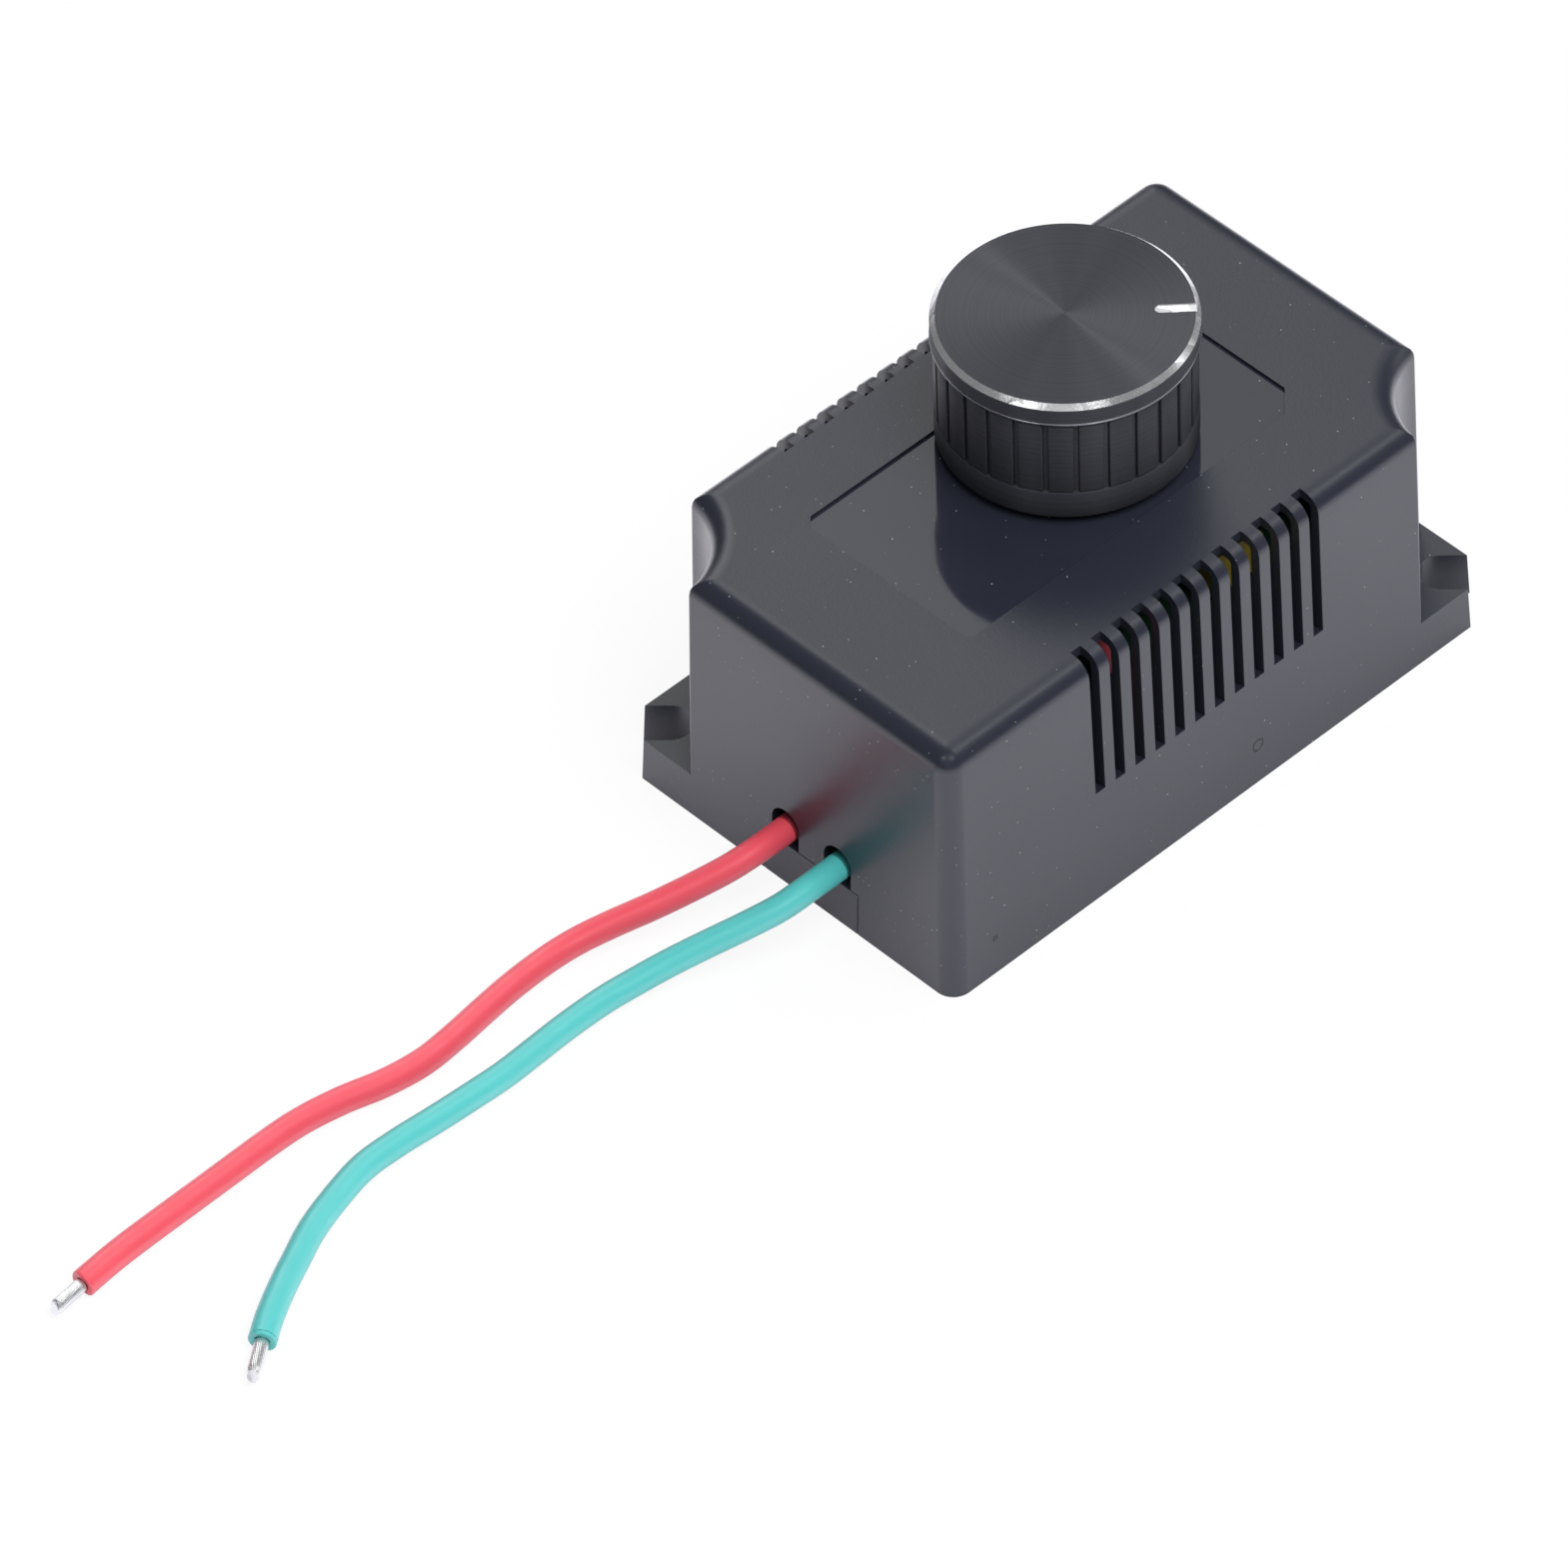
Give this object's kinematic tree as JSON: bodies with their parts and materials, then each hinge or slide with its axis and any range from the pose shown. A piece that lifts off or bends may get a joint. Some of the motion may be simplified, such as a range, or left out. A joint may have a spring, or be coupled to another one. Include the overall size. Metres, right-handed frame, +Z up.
{
  "type": "ac motor speed controller",
  "caption": "Vented plastic box with a round cut and a slotted ear at two opposite corners, a large fluted rotary knob on its top and a pair of stripped leads from one end.",
  "frame": {"origin": "centre of the case's foot in plan, on the surface that it stands on", "axes": "+Z up along the knob's axis, +X along the case's long side away from the leads, +Y along its short side; the leads leave at -X and the ears stand at (-X, +Y) and (+X, -Y)"},
  "size_m": [0.1865, 0.0532, 0.0528],
  "materials": {
    "case_plastic": "fine grained moulded ABS",
    "black_anodised": "black anodised, turned top and diamond-cut bright rim",
    "black_plastic": "moulded",
    "white_plastic": "moulded",
    "brown_plastic": "moulded phenolic",
    "grey_plastic": "moulded box",
    "red_plastic": "dipped film box",
    "yellow_lacquer": "dipped lacquer",
    "resistor_lacquer": "dipped lacquer",
    "blue_lacquer": "glass body, lacquered",
    "laminate": "paper phenolic laminate",
    "board_green": "solder mask over glass laminate",
    "zinc_steel": "bright zinc plated",
    "bright_metal": "turned",
    "bare_aluminium": "extruded, bare",
    "contact_brass": "spring brass",
    "tinned_metal": "tinned",
    "tinned_strands": "tinned copper strands, twisted",
    "red_insulation": "soft PVC",
    "green_insulation": "soft PVC"
  },
  "bodies": {
    "case": {"upper_case": "case_plastic", "base_cover": "case_plastic", "cover_screws": "zinc_steel", "pot_bushing": "bright_metal", "pot_track": "laminate", "pot_housing": "brown_plastic", "pot_terminals": "tinned_metal", "pot_washer": "zinc_steel", "pot_nut": "zinc_steel", "circuit_board": "board_green", "triac_package": "black_plastic", "triac_metal": "tinned_metal", "heat_sink": "bare_aluminium", "heat_sink_screw": "zinc_steel", "film_capacitor": "grey_plastic", "film_capacitor_pins": "tinned_metal", "timing_capacitor": "red_plastic", "yellow_capacitor": "yellow_lacquer", "yellow_capacitor_pins": "tinned_metal", "resistors": "resistor_lacquer", "resistor_wires": "tinned_metal", "diac": "blue_lacquer", "diac_wires": "tinned_metal", "solder_joints": "tinned_metal", "red_lead_inner": "red_insulation", "green_lead_inner": "green_insulation", "red_wire": "red_insulation", "green_wire": "green_insulation", "red_conductor": "tinned_strands", "green_conductor": "tinned_strands"},
    "knob": {"knob_shell": "black_anodised", "knob_core": "black_plastic", "pot_shaft": "bright_metal", "pot_rotor": "white_plastic", "pot_wiper": "contact_brass"}
  },
  "joints": [
    {"name": "knob_turn", "type": "hinge", "parent": "case", "child": "knob", "pos_m": [0.0045, 0.0025, 0.0358], "axis": [0, 0, 1], "range_deg": [-18, 282]}
  ]
}
